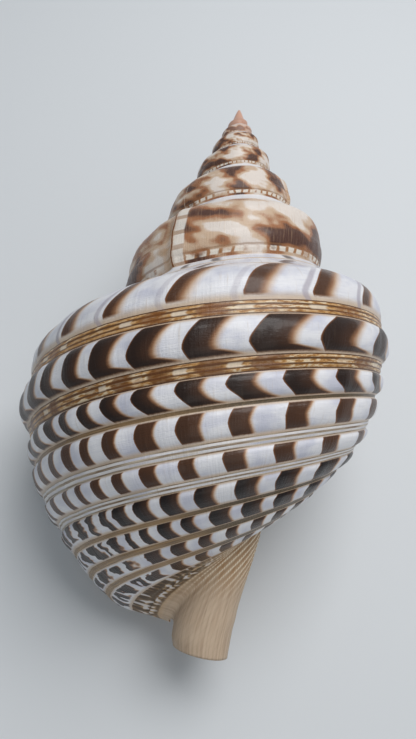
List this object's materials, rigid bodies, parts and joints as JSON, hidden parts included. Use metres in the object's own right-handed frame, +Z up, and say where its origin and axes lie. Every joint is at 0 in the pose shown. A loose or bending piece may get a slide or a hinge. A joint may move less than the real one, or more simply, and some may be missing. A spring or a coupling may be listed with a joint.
{
  "type": "triton shell",
  "caption": "Large spiral sea shell with a tall pointed spire, corded patterned whorls, a wide hollow mouth and a short siphonal canal, lying on its mouth.",
  "frame": {"origin": "centre of the bounding box in plan, on the ground that the shell lies on", "axes": "+Y towards the spire's point and along the shell's length, +Z up through the back of the body whorl, the mouth looks down"},
  "size_m": [0.1754, 0.2882, 0.142],
  "materials": {
    "shell": "gloss"
  },
  "bodies": {
    "root": {"shell": "shell"}
  },
  "joints": []
}
